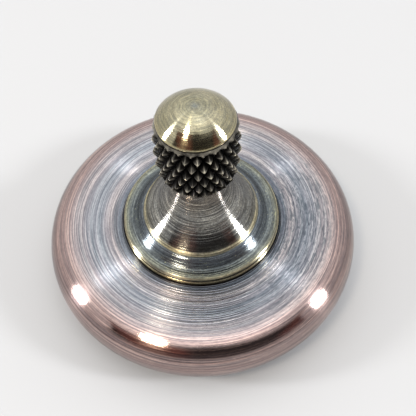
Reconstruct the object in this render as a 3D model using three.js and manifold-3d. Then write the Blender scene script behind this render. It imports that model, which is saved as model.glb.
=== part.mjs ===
// A finger-spun metal top: a round-edged flywheel disc with a stepped flange, a flared stem, a diamond
// knurled grip and a domed cap above it, clamped on one stud by a tip holder that carries a ball tip.
// Millimetres, +Z up along the spin axis, origin where the ball touches the table.
import * as THREE from "three";
import { mergeVertices } from "three/addons/utils/BufferGeometryUtils.js";
import Module from "manifold-3d";

// Flywheel disc: its edge is one full round from the top face to the underside.
const discRadius = 20;
const discThickness = 7;
const pocketDepth = 0.25; // shallow seat in the top face for the flange
const pocketClearance = 0.1; // radial gap round the seat ring, seen as a dark line
const recessRadius = 5.5; // hollow in the underside that holds the tip holder
const recessDepth = 4.7;

// Fastening stack
const studRadius = 1.5;
const boreClearance = 0.1; // radial, round the stud
const threadClearance = 0.05; // radial, where a piece is screwed on the stud
const spigotClearance = 0.06; // radial, round each locating spigot
const endClearance = 0.15; // axial, past the end of each spigot
const flatWasherRadius = 4.4;
const flatWasherThickness = 0.4;
const springWasherWidth = 1.2;
const springWasherThickness = 0.5;
const springWasherGap = 0.5;
const threadLength = 1.9; // thread engaged in the tip holder

// Tip
const ballRadius = 1.25;
const ballClearance = 0.05;
const padRadius = 1.4;
const padThickness = 0.5;
const padClearance = 0.05;
const holderFlats = 6; // across the flats of its hexagon
const holderHexHeight = 2.2;
const holderMouthHeight = 0.5; // lip above the table
const holderLipWidth = 0.7;

// Flange and what lies under it
const fibreWasherRadius = 9.7;
const fibreWasherThickness = 0.2;
const seatRingRadius = 9.97;
const seatRingThickness = 0.55;
const seatRingChamfer = 0.12;
const flangeRadius = 9.85;
const flangeEdgeHeight = 0.7; // low ledge at the rim, above the flange's base
const flangeBeadWidth = 0.95;
const flangeBeadRise = 0.06;
const flangeHeight = 1.63;
const flangeSlopeWidth = 1.45; // the S-shaped fall from the plateau to the bead
const flangeSlopeSkew = 1.45; // above 1 it falls faster at the plateau and runs out gently at the bead
const flangeSpigotRadius = 3;

// Stem
const footRadius = 7.26;
const footEdge = 0.34;
const neckRadius = 2.95;
const flareHeight = 8.03; // from the foot's edge to where the neck is straight
const neckLength = 0.45;
const stemSpigotRadius = 3.8; // into the flange
const stemSpigotLength = 1.1;
const neckSpigotRadius = 2.3; // into the grip
const neckSpigotLength = 1.5;

// Grip
const gripHeight = 8.2;
const gripRadius = 5.09; // over the points of the knurl, at mid height
const gripBulge = 0.27; // how much less at the ends of the knurl
const gripEndRadius = 4.4;
const gripFootChamfer = 0.45; // height of the chamfer below the knurl
const gripTopChamfer = 0.78; // height of the smooth chamfer above the knurl
const knurlTeeth = 22;
const knurlAngle = 30; // degrees, helix of each of the two crossing sets of grooves
const knurlDepth = 0.8;

// Cap
const capRadius = 4.44;
const capLand = 0.17; // straight edge below the dome
const domeHeight = 2.13;
const capSpigotRadius = 2.7;
const capSpigotLength = 2.5;
const capRoof = 1.2; // metal left between the stud's blind hole and the dome's top

// Facets
const discSegments = 64;
const turnedSegments = 48;
const smallSegments = 32;
const rimSteps = 9;
const arcSteps = 9;

const wasm = await Module();
wasm.setup();

// Heights from the table up; each piece seats on the one before.
const padBase = 2 * ballRadius + ballClearance;
const studBase = padBase + padThickness + padClearance;
const holderTop = studBase + threadLength;
const flatWasherBase = holderTop + springWasherThickness;
const discBase = flatWasherBase + flatWasherThickness - recessDepth;
const discTop = discBase + discThickness;
const pocketFloor = discTop - pocketDepth;
const seatRingBase = pocketFloor + fibreWasherThickness;
const flangeBase = seatRingBase + seatRingThickness;
const stemBase = flangeBase + flangeHeight;
const gripBase = stemBase + footEdge + flareHeight + neckLength;
const capBase = gripBase + gripHeight;
const studTop = capBase + capLand + domeHeight - capRoof - endClearance;

const studBore = studRadius + boreClearance;
const threadBore = studRadius + threadClearance;
const discBore = flangeSpigotRadius + spigotClearance;
const discWeb = discThickness - pocketDepth - recessDepth;

const point = (r, z) => new THREE.Vector2(r, z);

// Points along a circular arc about (r, z), with both ends, angles in degrees from the +r direction.
function arc(r, z, radius, from, to, steps) {
  return Array.from({ length: steps + 1 }, (_, i) => {
    const a = THREE.MathUtils.degToRad(from + ((to - from) * i) / steps);
    return point(r + radius * Math.cos(a), z + radius * Math.sin(a));
  });
}

// A solid of revolution about +Z. A profile that doesn't start on the axis is closed on itself.
function turned(profile, segments = turnedSegments) {
  const closed = profile[0].x === 0 ? profile : [...profile, profile[0]];
  return new THREE.LatheGeometry(closed, segments).rotateX(Math.PI / 2);
}

// A flat ring with square edges that stands on z = 0.
function ring(inner, outer, thickness, segments) {
  return turned(
    [point(inner, 0), point(outer, 0), point(outer, thickness), point(inner, thickness)],
    segments,
  );
}

function toSolid(geometry) {
  const bare = geometry.clone();
  bare.deleteAttribute("normal");
  bare.deleteAttribute("uv");
  const merged = mergeVertices(bare, 1e-4);
  return new wasm.Manifold(
    new wasm.Mesh({
      numProp: 3,
      vertProperties: new Float32Array(merged.attributes.position.array),
      triVerts: new Uint32Array(merged.index.array),
    }),
  );
}

function toGeometry(solid) {
  const mesh = solid.getMesh();
  const geometry = new THREE.BufferGeometry();
  geometry.setAttribute("position", new THREE.BufferAttribute(mesh.vertProperties, 3));
  geometry.setIndex(new THREE.BufferAttribute(mesh.triVerts, 1));
  geometry.computeVertexNormals();
  return geometry;
}

// Full-round disc with a shallow seat on top and a deep round recess below.
function flywheelDisc() {
  const rim = discThickness / 2;
  const pocketRadius = seatRingRadius + pocketClearance;
  return turned(
    [
      point(recessRadius, 0),
      ...arc(discRadius - rim, rim, rim, -90, 90, 2 * rimSteps),
      point(pocketRadius, discThickness),
      point(pocketRadius, discThickness - pocketDepth),
      point(discBore, discThickness - pocketDepth),
      point(discBore, recessDepth),
      point(recessRadius, recessDepth),
    ],
    discSegments,
  );
}

// Thin ring under the flange, with a small chamfer on its upper edge.
function seatRing() {
  return turned([
    point(discBore, 0),
    point(seatRingRadius, 0),
    point(seatRingRadius, seatRingThickness - seatRingChamfer),
    point(seatRingRadius - seatRingChamfer, seatRingThickness),
    point(discBore, seatRingThickness),
  ]);
}

// Stepped plate: a flat plateau, an S-shaped fall, then a low bead at the edge. Its spigot goes down
// through the ring and washer into the disc, and its counterbore takes the stem's spigot.
function steppedFlange() {
  const beadInner = flangeRadius - flangeBeadWidth;
  const beadTop = flangeEdgeHeight + flangeBeadRise;
  const fall = flangeHeight - flangeEdgeHeight;
  const spigotLength = discWeb + fibreWasherThickness + seatRingThickness - endClearance;
  const stemHole = stemSpigotRadius + spigotClearance;
  const stemHoleFloor = flangeHeight - stemSpigotLength - endClearance;
  const slope = Array.from({ length: arcSteps }, (_, i) => {
    const t = i / (arcSteps - 1);
    return point(
      beadInner - flangeSlopeWidth * t,
      flangeEdgeHeight + (fall * (1 - Math.cos(Math.PI * t ** flangeSlopeSkew))) / 2,
    );
  });
  return turned([
    point(studBore, -spigotLength),
    point(flangeSpigotRadius, -spigotLength),
    point(flangeSpigotRadius, 0),
    point(flangeRadius, 0),
    ...arc(flangeRadius - flangeBeadWidth / 4, beadTop - flangeBeadWidth / 4, flangeBeadWidth / 4, 0, 90, 3),
    point(beadInner + flangeBeadWidth / 4, beadTop),
    ...slope,
    point(stemHole, flangeHeight),
    point(stemHole, stemHoleFloor),
    point(studBore, stemHoleFloor),
  ]);
}

// Trumpet-shaped stem: one concave arc that leaves the neck straight up and down.
function flaredStem() {
  const flare = footRadius - neckRadius;
  const flareRadius = (flareHeight ** 2 + flare ** 2) / (2 * flare);
  const sweep = THREE.MathUtils.radToDeg(Math.asin(flareHeight / flareRadius));
  const neckStart = footEdge + flareHeight;
  const shoulder = neckStart + neckLength;
  return turned([
    point(studBore, -stemSpigotLength),
    point(stemSpigotRadius, -stemSpigotLength),
    point(stemSpigotRadius, 0),
    point(footRadius, 0),
    ...arc(neckRadius + flareRadius, neckStart, flareRadius, 180 + sweep, 180, arcSteps),
    point(neckRadius, shoulder),
    point(neckSpigotRadius, shoulder),
    point(neckSpigotRadius, shoulder + neckSpigotLength),
    point(studBore, shoulder + neckSpigotLength),
  ]);
}

// Barrel-shaped sleeve with a diamond knurl. Each row of the profile has the radius of the points and
// the depth of the grooves; points and groove crossings alternate round a row and from row to row.
function knurledGrip() {
  const columns = 2 * knurlTeeth;
  const toothPitch = (2 * Math.PI * gripRadius) / knurlTeeth;
  const idealSpacing = toothPitch / 2 / Math.tan(THREE.MathUtils.degToRad(knurlAngle));
  const knurlHeight = gripHeight - gripFootChamfer - gripTopChamfer;
  const rows = Math.max(2, Math.round(knurlHeight / idealSpacing));
  const middle = gripFootChamfer + knurlHeight / 2;
  const crest = (z) => gripRadius - gripBulge * ((z - middle) / (knurlHeight / 2)) ** 2;
  const neckHole = neckSpigotRadius + spigotClearance;
  const neckHoleTop = neckSpigotLength + endClearance;
  const capHole = capSpigotRadius + spigotClearance;
  const capHoleFloor = gripHeight - capSpigotLength - endClearance;
  const profile = [
    [neckHole, 0, 0],
    [gripEndRadius, 0, 0],
  ];
  for (let i = 0; i <= rows; i++) {
    const z = gripFootChamfer + (knurlHeight * i) / rows;
    profile.push([crest(z), z, i === 0 || i === rows ? knurlDepth / 2 : knurlDepth]);
  }
  profile.push(
    [gripEndRadius, gripHeight, 0],
    [capHole, gripHeight, 0],
    [capHole, capHoleFloor, 0],
    [studBore, capHoleFloor, 0],
    [studBore, neckHoleTop, 0],
    [neckHole, neckHoleTop, 0],
  );
  const positions = profile.flatMap(([r, z, depth], row) =>
    Array.from({ length: columns }, (_, column) => {
      const angle = (2 * Math.PI * column) / columns;
      const radius = r - depth * ((row + column) % 2);
      return [radius * Math.cos(angle), radius * Math.sin(angle), z];
    }).flat(),
  );
  const index = profile.flatMap((_, row) =>
    Array.from({ length: columns }, (_, column) => {
      const nextRow = (row + 1) % profile.length;
      const nextColumn = (column + 1) % columns;
      const a = row * columns + column;
      const b = row * columns + nextColumn;
      const c = nextRow * columns + nextColumn;
      const d = nextRow * columns + column;
      return (row + column) % 2 ? [a, b, c, a, c, d] : [a, b, d, b, c, d];
    }).flat(),
  );
  const geometry = new THREE.BufferGeometry();
  geometry.setAttribute("position", new THREE.Float32BufferAttribute(positions, 3));
  geometry.setIndex(index);
  geometry.computeVertexNormals();
  return geometry;
}

// Low dome over a straight edge, with a spigot and a blind hole for the stud below.
function fingerCap() {
  const domeRadius = (capRadius ** 2 + domeHeight ** 2) / (2 * domeHeight);
  const crown = capLand + domeHeight;
  const edgeAngle = THREE.MathUtils.radToDeg(Math.acos(capRadius / domeRadius));
  const dome = arc(0, crown - domeRadius, domeRadius, edgeAngle, 90, arcSteps);
  dome[arcSteps].x = 0;
  return turned([
    point(0, crown - capRoof),
    point(threadBore, crown - capRoof),
    point(threadBore, -capSpigotLength),
    point(capSpigotRadius, -capSpigotLength),
    point(capSpigotRadius, 0),
    point(capRadius, 0),
    ...dome,
  ]);
}

// Split ring, cut through on one side.
function springWasher() {
  const inner = studBore;
  const outer = studBore + springWasherWidth;
  const halfGap = Math.asin(springWasherGap / 2 / inner);
  const shape = new THREE.Shape();
  shape.absarc(0, 0, outer, halfGap, 2 * Math.PI - halfGap, false);
  shape.absarc(0, 0, inner, 2 * Math.PI - halfGap, halfGap, true);
  shape.closePath();
  return new THREE.ExtrudeGeometry(shape, {
    depth: springWasherThickness,
    bevelEnabled: false,
    curveSegments: smallSegments,
  });
}

// Hexagon nut with a tapered nose. Its cup closes in below the ball's middle, so the ball stays in.
function tipHolder() {
  const hexBase = holderTop - holderHexHeight;
  const hexRadius = holderFlats / 2 / Math.cos(Math.PI / 6);
  const cupRadius = ballRadius + ballClearance;
  const mouthAngle = THREE.MathUtils.radToDeg(Math.asin((holderMouthHeight - ballRadius) / cupRadius));
  const mouthRadius = cupRadius * Math.cos(THREE.MathUtils.degToRad(mouthAngle));
  const hexagon = new THREE.CylinderGeometry(hexRadius, hexRadius, holderHexHeight, 6)
    .rotateX(Math.PI / 2)
    .translate(0, 0, hexBase + holderHexHeight / 2);
  const nose = turned(
    [
      point(0, holderMouthHeight),
      point(mouthRadius + holderLipWidth, holderMouthHeight),
      point(holderFlats / 2, hexBase),
      point(holderFlats / 2, hexBase + holderHexHeight / 2),
      point(0, hexBase + holderHexHeight / 2),
    ],
    smallSegments,
  );
  const cavity = turned(
    [
      point(0, holderMouthHeight - 1),
      point(mouthRadius, holderMouthHeight - 1),
      ...arc(0, ballRadius, cupRadius, mouthAngle, 0, 4),
      point(cupRadius, padBase - ballClearance),
      point(padRadius + padClearance, padBase - ballClearance),
      point(padRadius + padClearance, studBase - padClearance / 2),
      point(threadBore, studBase - padClearance / 2),
      point(threadBore, holderTop + 1),
      point(0, holderTop + 1),
    ],
    smallSegments,
  );
  return toGeometry(toSolid(hexagon).add(toSolid(nose)).subtract(toSolid(cavity)));
}

const antiqueBrass = { color: 0x9c937b, roughness: 0.32, metalness: 1 };
const antiqueCopper = { color: 0x9f7b70, roughness: 0.36, metalness: 1 };
const blackenedBrass = { color: 0x3b3934, roughness: 0.4, metalness: 1 };
const zincSteel = { color: 0xb4b6b8, roughness: 0.35, metalness: 1 };
const hardSteel = { color: 0xd2d4d6, roughness: 0.08, metalness: 1 };
const blackFibre = { color: 0x1b1a19, roughness: 0.9, metalness: 0 };

function piece(name, geometry, base, look) {
  const mesh = new THREE.Mesh(geometry, new THREE.MeshStandardMaterial(look));
  mesh.name = name;
  mesh.position.z = base;
  return mesh;
}

const handle = new THREE.Group();
handle.add(
  piece("stepped_flange", steppedFlange(), flangeBase, antiqueBrass),
  piece("flared_stem", flaredStem(), stemBase, antiqueBrass),
  piece("knurled_grip", knurledGrip(), gripBase, blackenedBrass),
  piece("finger_cap", fingerCap(), capBase, antiqueBrass),
);

const wheel = new THREE.Group();
wheel.add(
  piece("flywheel_disc", flywheelDisc(), discBase, antiqueCopper),
  piece(
    "fibre_washer",
    ring(discBore, fibreWasherRadius, fibreWasherThickness, turnedSegments),
    pocketFloor,
    blackFibre,
  ),
  piece("seat_ring", seatRing(), seatRingBase, antiqueBrass),
);

const fastening = new THREE.Group();
fastening.add(
  piece(
    "centre_stud",
    turned(
      [
        point(0, 0),
        point(studRadius, 0),
        point(studRadius, studTop - studBase),
        point(0, studTop - studBase),
      ],
      smallSegments,
    ),
    studBase,
    zincSteel,
  ),
  piece(
    "flat_washer",
    ring(studBore, flatWasherRadius, flatWasherThickness, smallSegments),
    flatWasherBase,
    zincSteel,
  ),
  piece("spring_washer", springWasher(), holderTop, zincSteel),
);

const tip = new THREE.Group();
tip.add(
  piece("tip_holder", tipHolder(), 0, antiqueBrass),
  piece(
    "thrust_pad",
    turned(
      [point(0, 0), point(padRadius, 0), point(padRadius, padThickness), point(0, padThickness)],
      smallSegments,
    ),
    padBase,
    hardSteel,
  ),
  piece(
    "tip_ball",
    new THREE.SphereGeometry(ballRadius, 24, 16).rotateX(Math.PI / 2),
    ballRadius,
    hardSteel,
  ),
);

const spinningTop = new THREE.Group();
spinningTop.add(handle, wheel, fastening, tip);

export default spinningTop;
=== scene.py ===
import math

import bmesh
import bpy
from mathutils import Matrix, Vector, noise


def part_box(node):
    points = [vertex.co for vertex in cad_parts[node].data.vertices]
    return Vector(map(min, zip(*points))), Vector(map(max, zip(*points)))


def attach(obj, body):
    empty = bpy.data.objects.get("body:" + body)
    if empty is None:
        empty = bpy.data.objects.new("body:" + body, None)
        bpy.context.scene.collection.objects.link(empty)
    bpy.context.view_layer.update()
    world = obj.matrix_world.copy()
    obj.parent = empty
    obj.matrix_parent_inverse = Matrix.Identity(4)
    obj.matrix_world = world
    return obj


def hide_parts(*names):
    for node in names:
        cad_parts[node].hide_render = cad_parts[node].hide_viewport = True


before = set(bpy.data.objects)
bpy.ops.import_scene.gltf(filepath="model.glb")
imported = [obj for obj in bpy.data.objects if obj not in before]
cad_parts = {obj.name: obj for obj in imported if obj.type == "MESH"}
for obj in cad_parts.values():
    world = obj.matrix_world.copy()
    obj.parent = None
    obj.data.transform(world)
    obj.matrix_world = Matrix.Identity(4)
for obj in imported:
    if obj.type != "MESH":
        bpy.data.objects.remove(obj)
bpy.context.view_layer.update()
mm = 0.001
fullTurn = 2 * math.pi
grainDepth = 0.02  # mm, the depth of the finest grain on every surface

print("camera")

cameraSet = {
    "lens": 62.3,
    "sensor": 36.0,
    "downTilt": 56.67,  # degrees below the horizon
    "roll": 2.6,
    "distance": 93.1,  # mm, to the middle of the disc's top face
    "aside": 0.86,
    "above": 1.07,
}


def placeCamera(settings, aim):
    data = bpy.data.cameras.new("camera")
    data.lens = settings["lens"]
    data.sensor_width = settings["sensor"]
    data.clip_start = 5 * mm
    lens = bpy.data.objects.new("camera", data)
    bpy.context.scene.collection.objects.link(lens)
    turn = Matrix.Rotation(math.radians(90 - settings["downTilt"]), 4, "X")
    turn = turn @ Matrix.Rotation(math.radians(-settings["roll"]), 4, "Z")
    offset = Vector((settings["aside"], settings["above"], settings["distance"])) * mm
    lens.matrix_world = Matrix.Translation(aim) @ turn @ Matrix.Translation(offset)
    bpy.context.scene.camera = lens


discTop = Vector((0, 0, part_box("flywheel_disc")[1].z))
placeCamera(cameraSet, discTop)

print("turning tools")


# Draws an outline in the XZ plane and spins it round Z. A step (r, z) is a straight line to that point,
# and (centreR, centreZ, degrees, parts) an arc round that centre, positive from +X to +Z. All lengths are
# in millimetres. The attribute "along" holds the length along the outline, measured from corner zeroAt.
def turnOutline(steps, around, zeroAt=0):
    bm = bmesh.new()
    alongLayer = bm.verts.layers.float.new("along")
    chain = [bm.verts.new((steps[0][0] * mm, 0, steps[0][1] * mm))]
    corners = [0]
    for step in steps[1:]:
        if len(step) == 2:
            made = bmesh.ops.extrude_vert_indiv(bm, verts=[chain[-1]])["verts"]
            made[0].co = (step[0] * mm, 0, step[1] * mm)
            chain.append(made[0])
        else:
            centreR, centreZ, degrees, parts = step
            for _ in range(parts):
                made = bmesh.ops.spin(
                    bm, geom=[chain[-1]], cent=(centreR * mm, 0, centreZ * mm), axis=(0, -1, 0),
                    angle=math.radians(degrees / parts), steps=1,
                )["geom_last"]
                chain.append([item for item in made if isinstance(item, bmesh.types.BMVert)][0])
        corners.append(len(chain) - 1)
    lengths = [0.0]
    for before, after in zip(chain, chain[1:]):
        lengths.append(lengths[-1] + (after.co - before.co).length / mm)
    zero = lengths[corners[zeroAt]]
    for vert, length in zip(chain, lengths):
        vert[alongLayer] = length - zero
    if chain[0].co.x > 0:
        bm.edges.new((chain[-1], chain[0]))
    bmesh.ops.spin(
        bm, geom=bm.verts[:] + bm.edges[:], cent=(0, 0, 0), axis=(0, 0, 1),
        angle=fullTurn, steps=around, use_merge=True,
    )
    bmesh.ops.remove_doubles(bm, verts=bm.verts[:], dist=1e-7)
    bmesh.ops.dissolve_degenerate(bm, edges=bm.edges[:], dist=1e-7)
    bmesh.ops.recalc_face_normals(bm, faces=bm.faces[:])
    return bm


# Rounds the ring edges that lie at (r, z), each by its own width, all in millimetres.
def roundRings(bm, rings, segments=3):
    for r, z, width in rings:
        ring = [
            edge for edge in bm.edges
            if all(
                abs(math.hypot(vert.co.x, vert.co.y) - r * mm) < 2e-6 and abs(vert.co.z - z * mm) < 2e-6
                for vert in edge.verts
            )
        ]
        bmesh.ops.bevel(
            bm, geom=ring, offset=width * mm, offset_type="OFFSET", affect="EDGES",
            segments=segments, profile=0.5, material=-1,
        )


# Turns the bmesh into a named object at the origin that rides on a body and stands for its CAD node.
def finishPiece(bm, name, body, node, material, sharpAngle=35):
    mesh = bpy.data.meshes.new(name)
    bm.to_mesh(mesh)
    bm.free()
    piece = bpy.data.objects.new(name, mesh)
    bpy.context.scene.collection.objects.link(piece)
    mesh.polygons.foreach_set("use_smooth", [True] * len(mesh.polygons))
    mesh.set_sharp_from_angle(angle=math.radians(sharpAngle))
    mesh.materials.append(material)
    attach(piece, body)
    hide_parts(node)
    print("made", name, len(mesh.vertices), "points")


def span(node):
    low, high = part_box(node)
    return low.z / mm, high.z / mm


print("materials")


# An sRGB hex colour as linear RGBA.
def linear(code):
    parts = [int(code[i:i + 2], 16) / 255 for i in (1, 3, 5)]
    parts = [c / 12.92 if c <= 0.04045 else ((c + 0.055) / 1.055) ** 2.4 for c in parts]
    return (*parts, 1.0)


# Adds a node. A setting is a property of the node or one of its inputs, and an input takes a value or
# another node's output.
def addNode(tree, kind, settings=None):
    node = tree.nodes.new(kind)
    for key, value in (settings or {}).items():
        if isinstance(key, str) and hasattr(node, key):
            setattr(node, key, value)
            continue
        socket = node.inputs[key]
        if isinstance(value, bpy.types.NodeSocket):
            tree.links.new(value, socket)
        else:
            socket.default_value = value
    return node


def newMaterial(name):
    material = bpy.data.materials.new(name)
    material.use_nodes = True
    material.node_tree.nodes.clear()
    return material, material.node_tree


# What every turned piece has in common. Its own dictionary adds to this or changes it.
turnedLook = {
    "stainsTo": 30.0,  # mm along the outline, past which hands have rubbed most of the dark finish off
    "stainsFade": 0.8,
    "stainsLeft": 0.3,
    "arcAmount": 1.0,
    "arcDark": "#d9dde4",
    "arcPale": "#ffffff",
    "lineAmount": 1.0,
    "lineDark": "#d8d8dc",
    "linesPerTurn": 2.0,
    "linesPerMm": 4.5,  # finer tool lines wouldn't show, so the closest are drawn 0.15 to 0.2 mm apart
    "lineDepth": 0.12,
    "hairsPerTurn": 12.0,
    "hairsPerMm": 6.5,
    "gritPerTurn": 160.0,
    "gritPerMm": 5.0,
    "dull": "#6d7480",
    "dullSide": (0.98, -0.17, 0),  # the side, towards +X, where the colour turns in patches to the darker dull tone
    "dullAmount": 0.25,
    "dullPerTurn": 60.0,
    "dullPerMm": 3.4,
    "brushed": 1.0,
    "brushTurn": 0.25,
}
white = "#ffffff"


# Turned and brushed metal under an antique finish. Long thin arcs follow the lathe, because cloth and
# tool both went round; colour bands lie at set distances along the outline.
def turnedMetal(name, look):
    material, tree = newMaterial(name)
    place = addNode(tree, "ShaderNodeTexCoord").outputs["Object"]
    flat = addNode(tree, "ShaderNodeVectorMath", {"operation": "MULTIPLY", 0: place, 1: (1, 1, 0)}).outputs[0]
    heading = addNode(tree, "ShaderNodeVectorMath", {"operation": "NORMALIZE", 0: flat}).outputs[0]
    along = addNode(tree, "ShaderNodeAttribute", {"attribute_name": "along"}).outputs["Fac"]

    # Cloudy streaks that follow the lathe: perTurn sets how short they are, perMm how thin. Their value
    # hardly leaves 0.3 to 0.7, so the limits below lie in that range.
    def streaks(kind, detail, shift, waves=0.0):
        turned = addNode(
            tree, "ShaderNodeVectorMath",
            {"operation": "SCALE", 0: heading, "Scale": look[kind + "PerTurn"] / fullTurn},
        ).outputs[0]
        depth = addNode(
            tree, "ShaderNodeMath",
            {"operation": "MULTIPLY_ADD", 0: along, 1: look[kind + "PerMm"], 2: look["shift"] + shift},
        ).outputs[0]
        lift = addNode(tree, "ShaderNodeCombineXYZ", {"Z": depth}).outputs[0]
        where = addNode(tree, "ShaderNodeVectorMath", {"operation": "ADD", 0: turned, 1: lift}).outputs[0]
        return addNode(
            tree, "ShaderNodeTexNoise",
            {"Vector": where, "Scale": 1.0, "Detail": detail, "Roughness": 0.6, "Distortion": waves},
        ).outputs["Fac"]

    # Reads a table of (millimetres along the outline, colour).
    def tableAlong(distance, table):
        first, last = table[0][0], table[-1][0]
        level = addNode(
            tree, "ShaderNodeMapRange", {"Value": distance, "From Min": first, "From Max": last}
        ).outputs[0]
        ramp = addNode(tree, "ShaderNodeValToRGB", {"Fac": level})
        stops = ramp.color_ramp.elements
        while len(stops) < len(table):
            stops.new(0.5)
        for stop, (spot, colour) in zip(stops, table):
            stop.position = (spot - first) / (last - first)
            stop.color = colour
        return ramp.outputs["Color"]

    # Covers a colour with another where every mask lets it through. A mask is a value, the two limits
    # between which it counts, and what it lets through at each.
    def covered(colour, code, masks):
        share = None
        for value, low, high, atLow, atHigh in masks:
            level = addNode(
                tree, "ShaderNodeMapRange",
                {"Value": value, "From Min": low, "From Max": high, "To Min": atLow, "To Max": atHigh},
            ).outputs[0]
            if share is not None:
                level = addNode(
                    tree, "ShaderNodeMath", {"operation": "MULTIPLY", 0: share, 1: level}
                ).outputs[0]
            share = level
        return addNode(
            tree, "ShaderNodeMix", {"data_type": "RGBA", 0: share, 6: colour, 7: linear(code)}
        ).outputs[2]

    # Darkens a colour in streaks that run from one tone to another between two limits.
    def streaked(colour, value, low, high, dark, pale, amount):
        level = addNode(
            tree, "ShaderNodeMapRange", {"Value": value, "From Min": low, "From Max": high}
        ).outputs[0]
        tone = addNode(
            tree, "ShaderNodeMix", {"data_type": "RGBA", 0: level, 6: linear(dark), 7: linear(pale)}
        ).outputs[2]
        return addNode(
            tree, "ShaderNodeMix",
            {"data_type": "RGBA", "blend_type": "MULTIPLY", 0: amount, 6: colour, 7: tone},
        ).outputs[2]

    stain = streaks("stains", 3.0, 0)
    arcs = streaks("arcs", 2.0, 40)
    lines = streaks("lines", 1.0, 80)
    grit = streaks("grit", 3.0, 120)
    hairs = streaks("hairs", 2.0, 160)
    patches = streaks("dull", 4.0, 200, 0.9)
    side = addNode(
        tree, "ShaderNodeVectorMath", {"operation": "DOT_PRODUCT", 0: heading, 1: look["dullSide"]}
    ).outputs[1]

    # Bands wander a little, so that no edge is a perfect ring.
    wander = addNode(
        tree, "ShaderNodeMapRange",
        {
            "Value": stain, "From Min": 0.3, "From Max": 0.7,
            "To Min": -look["wander"], "To Max": look["wander"],
        },
    ).outputs[0]
    wandering = addNode(tree, "ShaderNodeMath", {"operation": "ADD", 0: along, 1: wander}).outputs[0]
    colour = tableAlong(wandering, [(spot, linear(code)) for spot, code in look["bands"]])
    end, fade = look["stainsTo"], look["stainsFade"]
    kept = (along, end - fade, end + fade, 1.0, look["stainsLeft"])
    colour = covered(colour, look["stain"], [(stain, 0.42, 0.66, 0, look["stainAmount"]), kept])
    colour = covered(
        colour, look["dull"], [(side, 0.3, 0.9, 0, 1), (patches, 0.45, 0.6, 0, look["dullAmount"]), kept]
    )
    colour = streaked(colour, arcs, 0.36, 0.64, look["arcDark"], look["arcPale"], look["arcAmount"])
    colour = streaked(colour, lines, 0.42, 0.58, look["lineDark"], white, look["lineAmount"])
    colour = streaked(colour, hairs, 0.43, 0.57, look["lineDark"], white, look["lineAmount"])
    colour = streaked(colour, grit, 0.38, 0.6, look["lineDark"], white, look["grainAmount"])
    colour = covered(colour, look["speck"], [(grit, 0.66, 0.74, 0, look["speckAmount"])])

    # Red holds the roughness, green how deep the tool lines are.
    feel = tableAlong(along, [(spot, (rough, depth, 0.0, 1.0)) for spot, rough, depth in look["surface"]])
    surface = addNode(tree, "ShaderNodeSeparateColor", {0: feel})
    uneven = addNode(
        tree, "ShaderNodeMapRange",
        {"Value": stain, "From Min": 0.3, "From Max": 0.7, "To Min": 0.9, "To Max": 1.1},
    ).outputs[0]
    roughness = addNode(
        tree, "ShaderNodeMath", {"operation": "MULTIPLY", 0: surface.outputs[0], 1: uneven}
    ).outputs[0]
    toolLines = addNode(
        tree, "ShaderNodeMath", {"operation": "MULTIPLY", 0: lines, 1: surface.outputs[1]}
    ).outputs[0]
    bump = addNode(
        tree, "ShaderNodeBump", {"Height": toolLines, "Strength": 1.0, "Distance": look["lineDepth"] * mm}
    ).outputs[0]
    bump = addNode(
        tree, "ShaderNodeBump",
        {"Height": grit, "Strength": look["gritStrength"], "Distance": grainDepth * mm, "Normal": bump},
    ).outputs[0]
    tangent = addNode(tree, "ShaderNodeTangent", {"direction_type": "RADIAL", "axis": "Z"}).outputs[0]
    shader = addNode(
        tree, "ShaderNodeBsdfPrincipled",
        {
            "Base Color": colour, "Metallic": 1.0, "Roughness": roughness, "Normal": bump,
            "Anisotropic": look["brushed"], "Anisotropic Rotation": look["brushTurn"], "Tangent": tangent,
        },
    )
    addNode(tree, "ShaderNodeOutputMaterial", {"Surface": shader.outputs[0]})
    return material


print("flywheel disc")

discSet = {
    "pocketRadius": 10.07,
    "pocketDepth": 0.25,
    "bore": 3.06,
    "recessRadius": 5.5,
    "recessDepth": 4.7,
    "around": 256,
    "rimParts": 48,
    "edge": 0.05,
}

# Copper plate, circular brushed, then antiqued and lacquered: warm pink where it is rubbed bright on the
# shoulder, bluish grey where the dark finish stays.
discLook = {
    **turnedLook,
    "bands": [
        # The first stops darken the pocket and the face next to the flange: partly patina in the crevice,
        # partly painted shade where the flange sits on the disc.
        (-0.3, "#241d1b"), (0.0, "#6b6867"), (0.12, "#8f8e92"), (0.6, "#aaaeb6"), (1.1, "#d0c9c9"),
        (1.7, "#e6dad6"), (2.5, "#dbd5d6"), (3.4, "#cfd0d4"), (4.6, "#d4d1d3"), (5.3, "#e4d8d5"),
        (6.0, "#dacfcc"), (6.4, "#efdbd4"), (7.4, "#e4c4b9"), (9.1, "#c6a79d"), (9.3, "#a0857d"),
        (9.5, "#cdb0a6"), (9.75, "#a58a82"), (10.0, "#cdb2a8"), (12.0, "#c8ada4"), (17.4, "#b0968d"),
        (28.0, "#7e6e69"),
    ],
    "wander": 0.12,
    "stain": "#7d8a92",
    "stainAmount": 0.38,
    "stainsPerTurn": 9.0,
    "stainsPerMm": 1.1,
    "stainsTo": 6.8,
    "arcAmount": 0.75,
    "arcDark": "#cfdbe0",
    "dull": "#65737b",
    "dullAmount": 0.65,
    "arcsPerTurn": 9.0,
    "arcsPerMm": 7.5,
    "linesPerMm": 5.5,
    "lineDepth": 0.1,
    "grainAmount": 0.6,
    "gritStrength": 0.15,
    "speck": "#4c4643",
    "speckAmount": 0.35,
    "surface": [
        (-0.3, 0.24, 0.9), (1.8, 0.24, 0.9), (3.2, 0.23, 0.7), (5.4, 0.22, 0.6), (6.6, 0.13, 0.1),
        (10.0, 0.14, 0.15), (28.0, 0.3, 0.5),
    ],
    "shift": 3.0,
}


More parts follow.
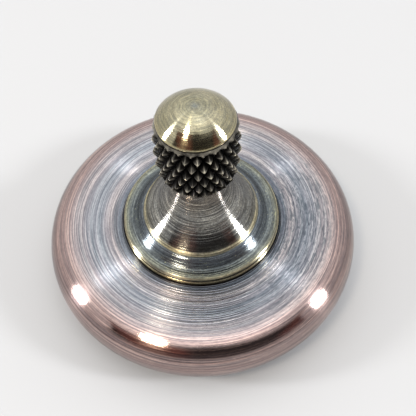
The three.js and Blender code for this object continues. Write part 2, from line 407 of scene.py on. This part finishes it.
def makeDisc(settings):
    low, high = span("flywheel_disc")
    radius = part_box("flywheel_disc")[1].x / mm
    rim = (high - low) / 2
    floor = high - settings["pocketDepth"]
    roof = low + settings["recessDepth"]
    bm = turnOutline(
        [
            (settings["bore"], floor),
            (settings["pocketRadius"], floor),
            (settings["pocketRadius"], high),
            (radius - rim, high),
            (radius - rim, low + rim, -180, settings["rimParts"]),
            (settings["recessRadius"], low),
            (settings["recessRadius"], roof),
            (settings["bore"], roof),
        ],
        settings["around"],
        zeroAt=2,
    )
    roundRings(bm, [
        (settings["pocketRadius"], high, settings["edge"]),
        (settings["recessRadius"], low, 3 * settings["edge"]),
    ])
    material = turnedMetal("antiqued copper plate", discLook)
    finishPiece(bm, "disc", "top", "flywheel_disc", material)


makeDisc(discSet)

print("seat ring and flange")

ringSet = {
    "bore": 3.06,
    "radius": 9.97,
    "chamfer": 0.12,
    "around": 256,
    "edge": 0.03,
}

# Brass under an antique finish: brown in the hollows, rubbed to bare yellow metal on the edges.
ringLook = {
    **turnedLook,
    "bands": [
        (-1.0, "#3a342b"), (0.0, "#8d8063"), (0.06, "#d8cba2"), (0.17, "#d8cba2"), (0.24, "#4e4638"),
        (1.0, "#4a4437"),
    ],
    "wander": 0.02,
    "stain": "#6c6a5e",
    "stainAmount": 0.5,
    "stainsPerTurn": 12.0,
    "stainsPerMm": 1.0,
    "arcsPerTurn": 14.0,
    "arcsPerMm": 8.0,
    "grainAmount": 0.5,
    "gritStrength": 0.2,
    "speck": "#3a3428",
    "speckAmount": 0.4,
    "surface": [(-1.0, 0.24, 0.3), (1.0, 0.24, 0.3)],
    "shift": 11.0,
}


def makeSeatRing(settings):
    low, high = span("seat_ring")
    radius, chamfer = settings["radius"], settings["chamfer"]
    bm = turnOutline(
        [
            (settings["bore"], low),
            (radius, low),
            (radius, high - chamfer),
            (radius - chamfer, high),
            (settings["bore"], high),
        ],
        settings["around"],
        zeroAt=2,
    )
    edge = settings["edge"]
    roundRings(bm, [(radius, high - chamfer, edge), (radius - chamfer, high, edge)])
    material = turnedMetal("antiqued brass ring", ringLook)
    finishPiece(bm, "seatRing", "top", "seat_ring", material)


makeSeatRing(ringSet)

flangeSet = {
    "radius": 9.85,
    "edgeHeight": 0.7,
    "beadWidth": 0.95,
    "beadRise": 0.06,
    "beadParts": 6,
    "slopeWidth": 1.45,
    "slopeSkew": 1.45,  # above 1 the fall is steeper at the plateau and runs out gently at the bead
    "slopeParts": 20,
    "spigotRadius": 3.0,
    "stemHole": 3.86,
    "stemHoleDepth": 1.25,
    "bore": 1.6,
    "around": 256,
    "edge": 0.05,
}

# The same brass: blue-grey on the plateau, bare metal on the bead. In the S-shaped fall the blue-grey is
# painted darker, a painted reflection of the dark surroundings.
flangeLook = {
    **turnedLook,
    "bands": [
        (-4.0, "#4c463a"), (-0.6, "#4c4232"), (-0.16, "#6f6147"), (0.0, "#f6e9bf"), (0.16, "#f6e9bf"),
        # From 1.5 to 2.7 mm along, the darker blue-grey is a painted reflection of the dark surroundings in
        # the S-shaped fall.
        (0.26, "#b0ac90"), (0.6, "#b4b6a2"), (1.1, "#aab0a8"), (1.5, "#8a908c"), (2.1, "#7a8082"),
        (2.7, "#7c8285"), (3.0, "#92989a"), (6.0, "#8c908e"),
    ],
    "wander": 0.08,
    "stain": "#8b9296",
    "stainAmount": 0.45,
    "stainsPerTurn": 10.0,
    "stainsPerMm": 0.9,
    "lineDark": "#d4d4d6",
    "arcsPerTurn": 14.0,
    "arcsPerMm": 7.0,
    "linesPerMm": 6.0,
    "lineDepth": 0.11,
    "grainAmount": 1.0,
    "gritStrength": 0.1,
    "speck": "#cfcb8e",
    "speckAmount": 0.65,
    "surface": [
        (-4.0, 0.24, 0.2), (-0.2, 0.24, 0.0), (0.0, 0.36, 0.0), (0.16, 0.36, 0.0), (0.3, 0.23, 0.2),
        (0.8, 0.23, 0.5), (2.4, 0.23, 0.6), (6.0, 0.2, 0.5),
    ],
    "shift": 23.0,
}


def makeFlange(settings):
    low, top = span("stepped_flange")
    base = span("seat_ring")[1]
    radius = settings["radius"]
    bead = settings["beadWidth"] / 4
    beadTop = base + settings["edgeHeight"] + settings["beadRise"]
    beadInner = radius - settings["beadWidth"]
    fall = top - base - settings["edgeHeight"]
    parts = settings["slopeParts"]
    slope = [
        (
            beadInner - settings["slopeWidth"] * i / parts,
            base + settings["edgeHeight"]
            + fall * (1 - math.cos(math.pi * (i / parts) ** settings["slopeSkew"])) / 2,
        )
        for i in range(parts + 1)
    ]
    holeFloor = top - settings["stemHoleDepth"]
    bm = turnOutline(
        [
            (settings["bore"], low),
            (settings["spigotRadius"], low),
            (settings["spigotRadius"], base),
            (radius, base),
            (radius, beadTop - bead),
            (radius - bead, beadTop - bead, 90, settings["beadParts"]),
            (beadInner + bead, beadTop),
            *slope,
            (settings["stemHole"], top),
            (settings["stemHole"], holeFloor),
            (settings["bore"], holeFloor),
        ],
        settings["around"],
        zeroAt=4,
    )
    roundRings(bm, [(radius, base, settings["edge"]), (beadInner + bead, beadTop, settings["edge"])])
    material = turnedMetal("antiqued brass flange", flangeLook)
    finishPiece(bm, "flange", "top", "stepped_flange", material)


makeFlange(flangeSet)

print("stem")

stemSet = {
    "footRadius": 7.26,
    "footEdge": 0.34,
    "footRounding": 0.27,
    "roundingParts": 6,
    "neckRadius": 2.95,
    "flareHeight": 8.03,
    "neckLength": 0.45,
    "lowSpigot": (3.8, 1.1),  # radius, length
    "highSpigot": (2.3, 1.5),
    "bore": 1.6,
    "flareParts": 64,
    "around": 224,
    "edge": 0.03,
}

# The same brass, turned with closer lines: greyish gold, darker under the grip, bare metal on the thin
# step at its foot.
stemLook = {
    **turnedLook,
    "bands": [
        (-3.0, "#5c584d"), (-0.4, "#8d8063"), (-0.3, "#fdf0c4"), (0.3, "#fdf0c4"), (0.46, "#a9a595"),
        (1.2, "#b7b4aa"), (3.0, "#c2bfb5"), (5.0, "#c9c4b7"), (8.0, "#c4b9a8"), (9.5, "#afa390"),
        (10.2, "#7d7362"), (11.0, "#5a5345"),
    ],
    "wander": 0.04,
    "stain": "#9aa0a4",
    "stainAmount": 0.4,
    "stainsPerTurn": 9.0,
    "stainsPerMm": 0.5,
    "arcDark": "#cccfd4",
    "lineDark": "#c6c5c5",
    "arcsPerTurn": 12.0,
    "arcsPerMm": 7.0,
    "linesPerMm": 6.5,
    "lineDepth": 0.06,
    "grainAmount": 1.0,
    "gritStrength": 0.08,
    "speck": "#5a5344",
    "speckAmount": 0.35,
    "surface": [
        (-3.0, 0.2, 0.1), (-0.5, 0.2, 0.1), (-0.3, 0.4, 0.0), (0.24, 0.4, 0.0), (0.5, 0.15, 0.3),
        (3.0, 0.15, 0.6), (11.0, 0.16, 0.7),
    ],
    "shift": 37.0,
}


def makeStem(settings):
    base = span("stepped_flange")[1]
    foot, neck = settings["footRadius"], settings["neckRadius"]
    flare, rise = foot - neck, settings["flareHeight"]
    flareRadius = (rise ** 2 + flare ** 2) / (2 * flare)
    sweep = math.degrees(math.asin(rise / flareRadius))
    neckStart = base + settings["footEdge"] + rise
    shoulder = neckStart + settings["neckLength"]
    lowRadius, lowLength = settings["lowSpigot"]
    highRadius, highLength = settings["highSpigot"]
    bm = turnOutline(
        [
            (settings["bore"], base - lowLength),
            (lowRadius, base - lowLength),
            (lowRadius, base),
            (foot, base),
            (foot, base + settings["footEdge"]),
            (neck + flareRadius, neckStart, -sweep, settings["flareParts"]),
            (neck, shoulder),
            (highRadius, shoulder),
            (highRadius, shoulder + highLength),
            (settings["bore"], shoulder + highLength),
        ],
        settings["around"],
        zeroAt=4,
    )
    roundRings(
        bm,
        [(foot, base + settings["footEdge"], settings["footRounding"]), (foot, base, settings["edge"])],
        segments=settings["roundingParts"],
    )
    material = turnedMetal("antiqued brass stem", stemLook)
    finishPiece(bm, "stem", "top", "flared_stem", material)


makeStem(stemSet)

print("knurled grip")

gripSet = {
    "teeth": 22,
    "columnsPerTooth": 16,
    "knurlRows": 44,
    "depth": 0.8,
    "tipFlat": 0.96,  # the points stop short by this share
    "ridgeWidth": 0.3,
    "wear": 0.14,
    "ridgeRub": 0.38,  # how much less the flanks are rubbed than the ridges
    "chamferRub": 0.65,
    "radius": 5.09,
    "bulge": 0.27,
    "endRadius": 4.4,
    "footChamfer": 0.45,
    "topChamfer": 0.78,
    "runOut": 0.5,  # height over which the grooves fade into the top chamfer
    "footHole": (2.36, 1.65),  # radius, depth
    "topHole": (2.76, 2.65),
    "bore": 1.6,
}


# Two crossing sets of V grooves leave rows of four-sided points.
def makeGrip(settings):
    low, high = span("knurled_grip")
    height = high - low
    foot, top = settings["footChamfer"], height - settings["topChamfer"]
    middle, half = (foot + top) / 2, (top - foot) / 2
    rowStep = 2 * half / settings["knurlRows"]
    teeth, columns = settings["teeth"], settings["columnsPerTooth"]

    def crest(z):
        return settings["radius"] - settings["bulge"] * ((z - middle) / half) ** 2

    def chamfer(z):
        atFoot = settings["endRadius"] + (crest(foot) - settings["endRadius"]) * z / foot
        atTop = settings["endRadius"] + (crest(top) - settings["endRadius"]) * (height - z) / (height - top)
        return min(atFoot, atTop)

    below = int(foot / rowStep)
    above = int((height - top) / rowStep)
    rows = range(-settings["knurlRows"] // 2 - below, settings["knurlRows"] // 2 + above + 1)
    levels = [middle + row * rowStep for row in rows]
    footHole, footDepth = settings["footHole"]
    topHole, topDepth = settings["topHole"]
    bm = turnOutline(
        [
            (footHole, low),
            (settings["endRadius"], low),
            *[(settings["radius"], low + z) for z in levels],
            (settings["endRadius"], high),
            (topHole, high),
            (topHole, high - topDepth),
            (settings["bore"], high - topDepth),
            (settings["bore"], low + footDepth),
            (footHole, low + footDepth),
        ],
        teeth * columns,
        zeroAt=1,
    )
    burnish = bm.verts.layers.float.new("burnish")
    wall = [vert for vert in bm.verts if math.hypot(vert.co.x, vert.co.y) > (settings["radius"] - 0.01) * mm]

    def grooves(x, y, z):
        around = teeth * math.atan2(y, x) / fullTurn
        upward = (z / mm - low - middle) / (columns * rowStep)
        first, second = (around + upward) % 1, (around - upward) % 1
        return 2 * min(first, 1 - first), 2 * min(second, 1 - second)

    for vert in wall:
        z = vert.co.z / mm - low
        first, second = grooves(*vert.co)
        worn = settings["wear"] * (0.5 + 0.5 * noise.noise(vert.co / mm))
        lift = min(first, second, settings["tipFlat"] - worn)
        fade = min(1.0, max(0.0, 1 - (z - top) / settings["runOut"]))
        radius = crest(min(max(z, foot), top)) - settings["depth"] * (settings["tipFlat"] - lift) * fade
        radius = min(radius, chamfer(z))
        scale = radius * mm / math.hypot(vert.co.x, vert.co.y)
        vert.co.x *= scale
        vert.co.y *= scale
        ridge = 1 - min(1.0, abs(first - second) / settings["ridgeWidth"])
        rubbed = lift / settings["tipFlat"] * (1 - settings["ridgeRub"] * (1 - ridge))
        vert[burnish] = rubbed * fade + settings["chamferRub"] * (1 - fade)
    # Each small face is folded along the groove beside it, so that the flanks stay flat.
    wallSet = set(wall)
    for face in [face for face in bm.faces if len(face.verts) == 4 and wallSet.issuperset(face.verts)]:
        centre = face.calc_center_median()
        first, second = grooves(*centre)
        corners = sorted(face.verts, key=lambda vert: vert.co.z)
        lower = sorted(corners[:2], key=lambda vert: centre.x * vert.co.y - centre.y * vert.co.x)
        upper = sorted(corners[2:], key=lambda vert: centre.x * vert.co.y - centre.y * vert.co.x)
        if first < second:
            bmesh.utils.face_split(face, lower[1], upper[0])
        else:
            bmesh.utils.face_split(face, lower[0], upper[1])
    bmesh.ops.recalc_face_normals(bm, faces=bm.faces[:])
    return bm


knurlLook = {
    "rubbed": [(0.0, "#050505"), (0.34, "#191715"), (0.56, "#4d4a44"), (0.78, "#8b8578"), (0.95, "#cfc8b2")],
    "uneven": 0.2,
    "blotchesPerMm": 0.9,
    "grainsPerMm": 6.0,
    "grainStrength": 0.3,
    "roughness": (0.5, 0.2),  # in the grooves, on the points
}


# Blackened brass: nearly black in the grooves, brown flanks, bare metal on the points that fingers rub.
def blackenedBrass(name, look):
    material, tree = newMaterial(name)
    place = addNode(tree, "ShaderNodeTexCoord").outputs["Object"]
    burnish = addNode(tree, "ShaderNodeAttribute", {"attribute_name": "burnish"}).outputs["Fac"]
    blotch = addNode(
        tree, "ShaderNodeTexNoise", {"Vector": place, "Scale": look["blotchesPerMm"] / mm, "Detail": 3.0}
    ).outputs["Fac"]
    grit = addNode(
        tree, "ShaderNodeTexNoise", {"Vector": place, "Scale": look["grainsPerMm"] / mm, "Detail": 3.0}
    ).outputs["Fac"]
    wobble = addNode(
        tree, "ShaderNodeMapRange",
        {
            "Value": blotch, "From Min": 0.3, "From Max": 0.7,
            "To Min": -look["uneven"], "To Max": look["uneven"],
        },
    ).outputs[0]
    rub = addNode(tree, "ShaderNodeMath", {"operation": "ADD", 0: burnish, 1: wobble}).outputs[0]
    ramp = addNode(tree, "ShaderNodeValToRGB", {"Fac": rub})
    stops = ramp.color_ramp.elements
    while len(stops) < len(look["rubbed"]):
        stops.new(0.5)
    for stop, (position, code) in zip(stops, look["rubbed"]):
        stop.position = position
        stop.color = linear(code)
    inGrooves, onPoints = look["roughness"]
    roughness = addNode(
        tree, "ShaderNodeMapRange",
        {"Value": rub, "From Min": 0.1, "From Max": 0.9, "To Min": inGrooves, "To Max": onPoints},
    ).outputs[0]
    bump = addNode(
        tree, "ShaderNodeBump",
        {"Height": grit, "Strength": look["grainStrength"], "Distance": grainDepth * mm},
    ).outputs[0]
    shader = addNode(
        tree, "ShaderNodeBsdfPrincipled",
        {"Base Color": ramp.outputs["Color"], "Metallic": 1.0, "Roughness": roughness, "Normal": bump},
    )
    addNode(tree, "ShaderNodeOutputMaterial", {"Surface": shader.outputs[0]})
    return material


finishPiece(
    makeGrip(gripSet), "grip", "top", "knurled_grip",
    blackenedBrass("blackened brass", knurlLook), sharpAngle=12,
)

print("cap")

capSet = {
    "radius": 4.44,
    "land": 0.17,
    "spigot": 2.7,
    "spigotLength": 2.5,
    "bore": 1.55,
    "roof": 1.2,
    "domeParts": 40,
    "around": 192,
    "edge": 0.05,
    "underEdge": 0.03,
}

# The same brass, smoothed by fingertips: pale gold and nearly a mirror, greyer towards the crown.
capLook = {
    **turnedLook,
    "bands": [
        (-2.0, "#5c584d"), (-0.15, "#85795c"), (0.0, "#d8c99a"), (0.1, "#d8c99a"), (0.4, "#c8bd98"),
        (1.6, "#d6cca6"), (3.0, "#dbd2ae"), (4.0, "#cec8a6"), (4.6, "#bcb89f"), (4.9, "#adb0a4"),
    ],
    "wander": 0.2,
    "stain": "#b0a886",
    "stainAmount": 0.6,
    "stainsPerTurn": 6.0,
    "stainsPerMm": 0.9,
    "lineAmount": 0.5,
    "arcsPerTurn": 16.0,
    "arcsPerMm": 6.0,
    "grainAmount": 0.8,
    "gritStrength": 0.15,
    "speck": "#5a5640",
    "speckAmount": 0.4,
    "surface": [(-2.0, 0.12, 0.08), (2.5, 0.13, 0.14), (4.9, 0.18, 0.14)],
    "shift": 53.0,
}


def makeCap(settings):
    base = span("knurled_grip")[1]
    crown = span("finger_cap")[1]
    radius, land = settings["radius"], settings["land"]
    domeHeight = crown - base - land
    domeRadius = (radius ** 2 + domeHeight ** 2) / (2 * domeHeight)
    sweep = math.degrees(math.asin(radius / domeRadius))
    bm = turnOutline(
        [
            (0, crown - settings["roof"]),
            (settings["bore"], crown - settings["roof"]),
            (settings["bore"], base - settings["spigotLength"]),
            (settings["spigot"], base - settings["spigotLength"]),
            (settings["spigot"], base),
            (radius, base),
            (radius, base + land),
            (0, crown - domeRadius, sweep, settings["domeParts"]),
        ],
        settings["around"],
        zeroAt=6,
    )
    roundRings(bm, [(radius, base + land, settings["edge"]), (radius, base, settings["underEdge"])])
    material = turnedMetal("antiqued brass cap", capLook)
    finishPiece(bm, "cap", "top", "finger_cap", material)


makeCap(capSet)

print("tip")

holderSet = {
    "flats": 6.0,
    "hexHeight": 2.2,
    "blankRadius": 3.6,  # beyond the corners, until the flats are cut
    "chamferRadius": 2.97,
    "chamfer": 0.24,  # height over which the corners are cut
    "chamferAngle": 30,
    "chamferRings": 4,
    "noseRadius": 2.94,
    "lipRadius": 1.762,
    "lipEdge": 0.06,
    "mouthHeight": 0.5,
    "mouthParts": 8,
    "ballClearance": 0.05,
    "padBore": 1.45,
    "padRoom": 0.575,
    "threadBore": 1.55,
    "around": 144,
}

# The same brass, darker, because nothing rubs it.
holderLook = {
    **turnedLook,
    "bands": [
        (-14.0, "#5c584d"), (-0.2, "#6f6b5c"), (0.0, "#b5aa88"), (0.15, "#8f8a76"), (2.1, "#8a8672"),
        (2.3, "#b5aa88"), (2.5, "#7d7864"), (8.0, "#6f6b5c"),
    ],
    "wander": 0.06,
    "stain": "#6d6a5f",
    "stainAmount": 0.5,
    "stainsPerTurn": 6.0,
    "stainsPerMm": 0.8,
    "lineAmount": 0.6,
    "arcsPerTurn": 10.0,
    "arcsPerMm": 5.0,
    "lineDepth": 0.1,
    "grainAmount": 0.5,
    "gritStrength": 0.2,
    "speck": "#4c4638",
    "speckAmount": 0.4,
    "surface": [(-14.0, 0.3, 0.2), (0.0, 0.26, 0.2), (8.0, 0.28, 0.3)],
    "shift": 71.0,
}


def makeTipHolder(settings, ballRadius):
    top = span("tip_holder")[1]
    hexBase = top - settings["hexHeight"]
    flat = settings["flats"] / 2
    cup = ballRadius + settings["ballClearance"]
    mouth = settings["mouthHeight"]
    closeIn = math.degrees(math.asin((mouth - ballRadius) / cup))
    ballTop = 2 * ballRadius
    rings = settings["chamferRings"]
    lifts = [settings["chamfer"] * i / rings for i in range(rings + 1)]
    sides = [hexBase + lift for lift in lifts] + [top - lift for lift in reversed(lifts)]
    bm = turnOutline(
        [
            (settings["threadBore"], top),
            (settings["threadBore"], ballTop + settings["padRoom"]),
            (settings["padBore"], ballTop + settings["padRoom"]),
            (settings["padBore"], ballTop),
            (cup, ballTop),
            (cup, ballRadius),
            (0, ballRadius, closeIn, settings["mouthParts"]),
            (settings["lipRadius"], mouth),
            (settings["noseRadius"], hexBase),
            *[(settings["blankRadius"], z) for z in sides],
        ],
        settings["around"],
        zeroAt=8,
    )
    slant = 1 / math.tan(math.radians(settings["chamferAngle"]))
    corner = flat / math.cos(math.radians(30))
    for vert in bm.verts:
        radius = math.hypot(vert.co.x, vert.co.y)
        if radius > corner * mm:
            turn = math.degrees(math.atan2(vert.co.y, vert.co.x))
            hexagon = flat / math.cos(math.radians((turn + 30) % 60 - 30))
            depth = min(vert.co.z / mm - hexBase, top - vert.co.z / mm)
            scale = min(hexagon, settings["chamferRadius"] + depth * slant) * mm / radius
            vert.co.x *= scale
            vert.co.y *= scale
    roundRings(bm, [(settings["lipRadius"], mouth, settings["lipEdge"])])
    bmesh.ops.recalc_face_normals(bm, faces=bm.faces[:])
    material = turnedMetal("antiqued brass nut", holderLook)
    finishPiece(bm, "tipHolder", "top", "tip_holder", material, sharpAngle=28)


# A metal or fibre surface without tool lines: two tones in soft clouds, and a fine grain.
def cloudedFinish(name, look):
    material, tree = newMaterial(name)
    place = addNode(tree, "ShaderNodeTexCoord").outputs["Object"]
    clouds = addNode(
        tree, "ShaderNodeTexNoise", {"Vector": place, "Scale": look["cloudsPerMm"] / mm, "Detail": 4.0}
    ).outputs["Fac"]
    grain = addNode(
        tree, "ShaderNodeTexNoise", {"Vector": place, "Scale": look["grainsPerMm"] / mm, "Detail": 3.0}
    ).outputs["Fac"]
    tone = addNode(
        tree, "ShaderNodeMapRange", {"Value": clouds, "From Min": 0.35, "From Max": 0.65}
    ).outputs[0]
    colour = addNode(
        tree, "ShaderNodeMix",
        {"data_type": "RGBA", 0: tone, 6: linear(look["colour"]), 7: linear(look["clouded"])},
    ).outputs[2]
    dullest, brightest = look["roughness"]
    roughness = addNode(
        tree, "ShaderNodeMapRange",
        {"Value": clouds, "From Min": 0.35, "From Max": 0.65, "To Min": brightest, "To Max": dullest},
    ).outputs[0]
    bump = addNode(
        tree, "ShaderNodeBump",
        {"Height": grain, "Strength": look["grainStrength"], "Distance": grainDepth * mm},
    ).outputs[0]
    shader = addNode(
        tree, "ShaderNodeBsdfPrincipled",
        {"Base Color": colour, "Metallic": look["metallic"], "Roughness": roughness, "Normal": bump},
    )
    addNode(tree, "ShaderNodeOutputMaterial", {"Surface": shader.outputs[0]})
    return material


ballSet = {
    "around": 64,
    "upward": 32,
}

# Hardened bearing steel, lapped: a near mirror with faint smears.
ballSteel = cloudedFinish("lapped bearing steel", {
    "colour": "#dcdee0", "clouded": "#c9ccd0", "metallic": 1.0, "roughness": (0.16, 0.05),
    "cloudsPerMm": 1.5, "grainsPerMm": 12, "grainStrength": 0.05,
})


def makeTipBall(settings):
    low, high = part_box("tip_ball")
    bm = bmesh.new()
    bmesh.ops.create_uvsphere(
        bm, u_segments=settings["around"], v_segments=settings["upward"], radius=(high.z - low.z) / 2,
    )
    bmesh.ops.translate(bm, verts=bm.verts[:], vec=(low + high) / 2)
    finishPiece(bm, "tipBall", "tip", "tip_ball", ballSteel)
    return (high.z - low.z) / 2 / mm


makeTipHolder(holderSet, makeTipBall(ballSet))

# Bright zinc plate on turned and stamped steel: a cool silver with faint yellowish clouds.
zincPlate = cloudedFinish("bright zinc plate", {
    "colour": "#c6cace", "clouded": "#b9b9ae", "metallic": 1.0, "roughness": (0.42, 0.28),
    "cloudsPerMm": 0.8, "grainsPerMm": 14, "grainStrength": 0.35,
})
# Vulcanised fibre, pressed from paper: black, matt and slightly hairy.
blackFibre = cloudedFinish("black vulcanised fibre", {
    "colour": "#1d1b1a", "clouded": "#2a2725", "metallic": 0.0, "roughness": (0.95, 0.8),
    "cloudsPerMm": 1.2, "grainsPerMm": 9, "grainStrength": 0.8,
})
hiddenPieces = {
    "centre_stud": zincPlate,
    "flat_washer": zincPlate,
    "spring_washer": zincPlate,
    "fibre_washer": blackFibre,
    "thrust_pad": ballSteel,
}
for name, material in hiddenPieces.items():
    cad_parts[name].material_slots[0].material = material

print("light and floor")

# The sky round the top. An edge has the weights of x, y and z in a direction, the sum past which the
# direction lies inside, and how soft it is.
skySet = {
    "paperFill": 4.0,  # times the sky on matt surfaces, so that the shadows on the paper stay pale
    "haze": (0.5, 0.95, 0.95, 1.25),  # from and to these heights, from and to these strengths
    "ceiling": (0.9, 0.98, 0.0, 0.7),
    "backdrop": "#e3e1e2",
    # A dark screen in front, the same to both sides: its top, bottom, ends and back.
    "screenEdges": [
        ((-0.26, 0, -1), -0.94, 0.015), ((0, 0, 1), 0.33, 0.03),
        ((-1, 0, -0.47), -1.0, 0.015), ((0, -1, 0), 0.0, 0.02),
    ],
    "screen": (0.03, 0.024, 0.022, 1.0),
    # It is brown in two places.
    "brown": (0.2, 0.075, 0.06, 1.0),
    "leftBrown": [((1, 0, 0), -0.69, 0.03), ((-1, 0, 0), 0.19, 0.1)],
    "rightBrown": [((1, 0, 0), 0.62, 0.05)],
}


def makeWorld(settings):
    world = bpy.data.worlds.new("studio")
    bpy.context.scene.world = world
    world.use_nodes = True
    tree = world.node_tree
    tree.nodes.clear()
    direction = addNode(tree, "ShaderNodeTexCoord").outputs["Generated"]
    x, y, z = addNode(tree, "ShaderNodeSeparateXYZ", {0: direction}).outputs
    aside = addNode(tree, "ShaderNodeMath", {"operation": "ABSOLUTE", 0: x}).outputs[0]
    mirrored = addNode(tree, "ShaderNodeCombineXYZ", {"X": aside, "Y": y, "Z": z}).outputs[0]

    # How far a direction lies inside all the edges.
    def within(place, edges):
        inside = None
        for weights, limit, softness in edges:
            reach = addNode(
                tree, "ShaderNodeVectorMath", {"operation": "DOT_PRODUCT", 0: place, 1: weights}
            ).outputs[1]
            level = addNode(
                tree, "ShaderNodeMapRange",
                {
                    "Value": reach, "From Min": limit - softness, "From Max": limit + softness,
                    "interpolation_type": "SMOOTHSTEP",
                },
            ).outputs[0]
            if inside is not None:
                level = addNode(
                    tree, "ShaderNodeMath", {"operation": "MULTIPLY", 0: inside, 1: level}
                ).outputs[0]
            inside = level
        return inside

    dark = within(mirrored, settings["screenEdges"])
    brown = addNode(
        tree, "ShaderNodeMath",
        {
            "operation": "MAXIMUM",
            0: within(direction, settings["leftBrown"]), 1: within(direction, settings["rightBrown"]),
        },
    ).outputs[0]
    screen = addNode(
        tree, "ShaderNodeMix", {"data_type": "RGBA", 0: brown, 6: settings["screen"], 7: settings["brown"]}
    ).outputs[2]

    low, high, atLow, atHigh = settings["haze"]
    haze = addNode(
        tree, "ShaderNodeMapRange",
        {"Value": z, "From Min": low, "From Max": high, "To Min": atLow, "To Max": atHigh},
    ).outputs[0]
    low, high, atLow, atHigh = settings["ceiling"]
    ceiling = addNode(
        tree, "ShaderNodeMapRange",
        {
            "Value": z, "From Min": low, "From Max": high, "To Min": atLow, "To Max": atHigh,
            "interpolation_type": "SMOOTHSTEP",
        },
    ).outputs[0]
    sky = addNode(tree, "ShaderNodeMath", {"operation": "ADD", 0: haze, 1: ceiling}).outputs[0]
    skyColour = addNode(tree, "ShaderNodeCombineXYZ", {"X": sky, "Y": sky, "Z": sky}).outputs[0]
    lit = addNode(tree, "ShaderNodeMix", {"data_type": "RGBA", 0: dark, 6: skyColour, 7: screen}).outputs[2]
    ray = addNode(tree, "ShaderNodeLightPath")
    shown = addNode(
        tree, "ShaderNodeMix",
        {"data_type": "RGBA", 0: ray.outputs["Is Camera Ray"], 6: lit, 7: linear(settings["backdrop"])},
    ).outputs[2]
    strength = addNode(
        tree, "ShaderNodeMath",
        {
            "operation": "MULTIPLY_ADD",
            0: ray.outputs["Is Diffuse Ray"], 1: settings["paperFill"] - 1, 2: 1.0,
        },
    ).outputs[0]
    back = addNode(tree, "ShaderNodeBackground", {"Color": shown, "Strength": strength})
    addNode(tree, "ShaderNodeOutputWorld", {"Surface": back.outputs[0]})


makeWorld(skySet)

# Azimuth from the front, towards +X; elevation above the table; both in degrees.
lampSet = {
    "right": {"azimuth": 76.5, "elevation": 30, "size": (0.085, 0.15), "watts": 6.0, "colour": "#ffffff"},
    "left": {"azimuth": -87, "elevation": 27, "size": (0.085, 0.15), "watts": 6.0, "colour": "#ffffff"},
    "warm": {"azimuth": -47, "elevation": 62, "size": (0.11, 0.09), "watts": 2.3, "colour": "#ffedd2"},
}
lampDistance = 600 * mm


def placeLamp(name, settings, aim):
    data = bpy.data.lights.new(name, "AREA")
    data.shape = "ELLIPSE"
    data.size, data.size_y = settings["size"]
    data.energy = settings["watts"]
    data.color = linear(settings["colour"])[:3]
    azimuth, elevation = math.radians(settings["azimuth"]), math.radians(settings["elevation"])
    toward = Vector((
        math.sin(azimuth) * math.cos(elevation),
        -math.cos(azimuth) * math.cos(elevation),
        math.sin(elevation),
    ))
    lamp = bpy.data.objects.new(name, data)
    bpy.context.scene.collection.objects.link(lamp)
    turn = toward.to_track_quat("Z", "Y").to_matrix().to_4x4()
    lamp.matrix_world = Matrix.Translation(aim + toward * lampDistance) @ turn


for name, settings in lampSet.items():
    placeLamp(name + "Lamp", settings, discTop)


# Plain matt paper. Its base is a mid grey that the stronger sky on matt surfaces brings up to pale.
floorSet = {
    "halfWidth": 1500,
    "colour": "#6c6d6e",
    "roughness": 0.9,
    "specular": 0.2,
}


def makeFloor(settings):
    bm = bmesh.new()
    bmesh.ops.create_grid(bm, x_segments=1, y_segments=1, size=settings["halfWidth"] * mm)
    mesh = bpy.data.meshes.new("floor")
    bm.to_mesh(mesh)
    bm.free()
    floor = bpy.data.objects.new("floor", mesh)
    bpy.context.scene.collection.objects.link(floor)
    material, tree = newMaterial("pale paper")
    shader = addNode(
        tree, "ShaderNodeBsdfPrincipled",
        {
            "Base Color": linear(settings["colour"]), "Roughness": settings["roughness"],
            "Specular IOR Level": settings["specular"],
        },
    )
    addNode(tree, "ShaderNodeOutputMaterial", {"Surface": shader.outputs[0]})
    mesh.materials.append(material)


makeFloor(floorSet)
bpy.context.scene.view_settings.view_transform = "Standard"
